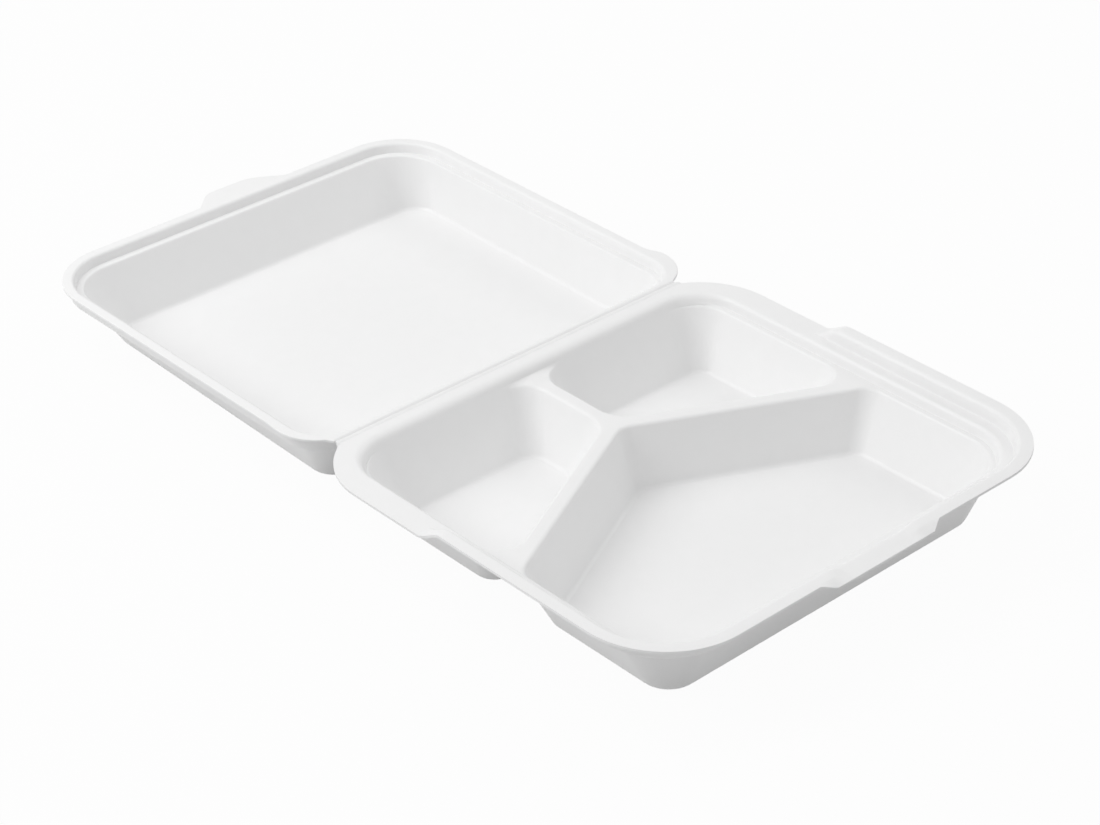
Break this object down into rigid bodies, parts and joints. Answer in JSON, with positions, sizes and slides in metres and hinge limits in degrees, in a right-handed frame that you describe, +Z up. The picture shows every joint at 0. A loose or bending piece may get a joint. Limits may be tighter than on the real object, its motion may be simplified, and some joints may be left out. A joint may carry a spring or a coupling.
{
  "type": "hinged foam food container",
  "caption": "Open clamshell food container of moulded white foam: a divided base tray with a raised lip and a front tab, and a hinged lid with a flat rim and a tongue.",
  "frame": {"origin": "on the base's underside, midway between the hinge axis and the front edge of the base", "axes": "+X along the hinge, +Y from the front tab to the lid as it lies open, +Z up from the table"},
  "size_m": [0.214, 0.3939, 0.0349],
  "materials": {
    "foam": "white polystyrene foam sheet with a soft satin skin"
  },
  "bodies": {
    "base": {"base": "foam"},
    "lid": {"lid": "foam"}
  },
  "joints": [
    {"name": "lid_hinge", "type": "hinge", "parent": "base", "child": "lid", "pos_m": [0, 0.0955, 0.0295], "axis": [1, 0, 0], "range_deg": [0, 180]}
  ]
}
